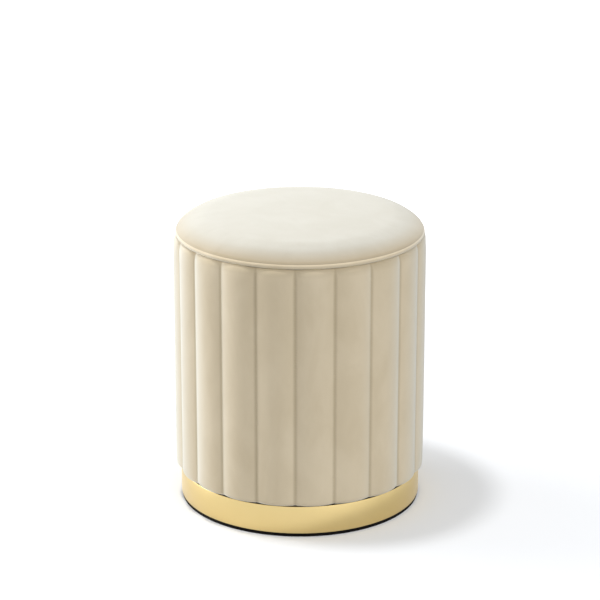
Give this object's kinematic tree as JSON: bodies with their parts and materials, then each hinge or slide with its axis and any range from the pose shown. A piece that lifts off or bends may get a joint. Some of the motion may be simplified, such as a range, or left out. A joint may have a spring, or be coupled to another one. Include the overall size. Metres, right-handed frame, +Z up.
{
  "type": "ottoman",
  "caption": "Round padded ottoman: an upright channelled velvet drum with a piped, crowned seat, standing on a plinth wrapped in a polished metal band.",
  "frame": {"origin": "on the floor, under the middle of the drum", "axes": "+Z up along the drum's axis; a sewn seam of the side faces -Y, and the butt seam of the inner skin faces +Y"},
  "size_m": [0.3968, 0.3968, 0.4715],
  "materials": {
    "velvet": "cream velvet with a short pile",
    "gold_metal": "polished, gold-coloured",
    "black_foot": "matt black",
    "dust_cloth": "black non-woven cloth",
    "plywood": "raw sanded plywood",
    "timber": "raw planed softwood",
    "hardboard": "raw hardboard",
    "foam": "open-cell upholstery foam",
    "wadding": "loose polyester fibre",
    "cord": "twisted paper and cotton cord",
    "zinc_steel": "zinc-plated",
    "staple_wire": "galvanised wire"
  },
  "bodies": {
    "root": {"side_cover": "velvet", "top_cover": "velvet", "piping_cover": "velvet", "base_band": "gold_metal", "foot_ring": "black_foot", "dust_cover": "dust_cloth", "plinth_ring_lower": "plywood", "plinth_ring_middle": "plywood", "plinth_ring_upper": "plywood", "bottom_board": "plywood", "mid_ring": "plywood", "seat_board": "plywood", "frame_post_1": "timber", "frame_post_2": "timber", "frame_post_3": "timber", "frame_post_4": "timber", "frame_post_5": "timber", "frame_post_6": "timber", "drum_skin": "hardboard", "side_foam": "foam", "seat_foam": "foam", "seat_wadding": "wadding", "piping_cord": "cord", "plinth_bolts": "zinc_steel", "bolt_washers": "zinc_steel", "tee_nuts": "zinc_steel", "lower_post_screws": "zinc_steel", "upper_post_screws": "zinc_steel", "cover_staples": "staple_wire", "dust_cover_staples": "staple_wire"}
  },
  "joints": []
}
